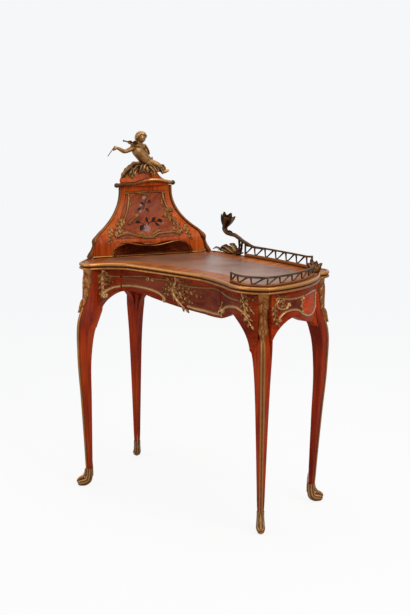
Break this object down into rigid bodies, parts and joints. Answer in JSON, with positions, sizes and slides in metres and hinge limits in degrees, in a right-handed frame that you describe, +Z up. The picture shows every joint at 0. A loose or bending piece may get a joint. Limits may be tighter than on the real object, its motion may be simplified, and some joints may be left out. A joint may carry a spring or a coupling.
{
  "type": "bonheur du jour",
  "caption": "Kidney-shaped bonheur du jour in veneered wood with cabriole legs, frieze drawer, corner cabinet with fall flap, bronze mounts and gallery.",
  "frame": {"origin": "on the floor, under the middle of the desk's outline", "axes": "+X to the right along the front, +Y to the back, +Z up"},
  "size_m": [0.8407, 0.5052, 1.151],
  "materials": {
    "kingwood_veneer": "french polished",
    "oak_carcase": "raw",
    "gilt_bronze": "worn gilding",
    "writing_leather": "polished"
  },
  "bodies": {
    "desk": {"apron_back": "kingwood_veneer", "apron_frame_front": "gilt_bronze", "apron_frame_right": "gilt_bronze", "apron_front_left": "kingwood_veneer", "apron_front_right": "kingwood_veneer", "apron_left": "kingwood_veneer", "apron_right": "kingwood_veneer", "cabinet_cap": "kingwood_veneer", "cabinet_cornice": "gilt_bronze", "cabinet_edge_left": "gilt_bronze", "cabinet_edge_right": "gilt_bronze", "cabinet_front": "kingwood_veneer", "cabinet_shelf": "kingwood_veneer", "cabinet_side_left": "kingwood_veneer", "cabinet_side_right": "kingwood_veneer", "cabinet_top": "kingwood_veneer", "candle_arm": "gilt_bronze", "corner_mount_back_left": "gilt_bronze", "corner_mount_back_right": "gilt_bronze", "corner_mount_front_left": "gilt_bronze", "corner_mount_front_right": "gilt_bronze", "drawer_runner_left": "oak_carcase", "drawer_runner_right": "oak_carcase", "figure": "gilt_bronze", "figure_base": "gilt_bronze", "gallery_back": "gilt_bronze", "gallery_front": "gilt_bronze", "gallery_shell": "gilt_bronze", "hinge_fixed": "gilt_bronze", "hinge_pin": "gilt_bronze", "leg_back_left": "kingwood_veneer", "leg_back_right": "kingwood_veneer", "leg_bead_back_left": "gilt_bronze", "leg_bead_back_right": "gilt_bronze", "leg_bead_front_left": "gilt_bronze", "leg_bead_front_right": "gilt_bronze", "leg_front_left": "kingwood_veneer", "leg_front_right": "kingwood_veneer", "niche_edging": "gilt_bronze", "rocaille_leaf": "gilt_bronze", "sabot_back_left": "gilt_bronze", "sabot_back_right": "gilt_bronze", "sabot_front_left": "gilt_bronze", "sabot_front_right": "gilt_bronze", "top_board": "kingwood_veneer", "top_rim": "gilt_bronze", "violin": "gilt_bronze", "violin_bow": "gilt_bronze", "writing_panel": "writing_leather"},
    "drawer": {"drawer_front": "kingwood_veneer", "drawer_side_left": "oak_carcase", "drawer_side_right": "oak_carcase", "drawer_back": "oak_carcase", "drawer_bottom": "oak_carcase", "drawer_frame": "gilt_bronze", "drawer_cartouche": "gilt_bronze"},
    "flap_leaf": {"flap": "kingwood_veneer", "flap_frame": "gilt_bronze", "hinge_moving": "gilt_bronze"}
  },
  "joints": [
    {"name": "drawer_slide", "type": "slide", "parent": "desk", "child": "drawer", "axis": [0, -1, 0], "range_m": [0, 0.17]},
    {"name": "flap_hinge", "type": "hinge", "parent": "desk", "child": "flap_leaf", "pos_m": [-0.26431, 0.05456, 0.806], "axis": [0.5498, 0.8353, 0], "range_deg": [0, 100]}
  ]
}
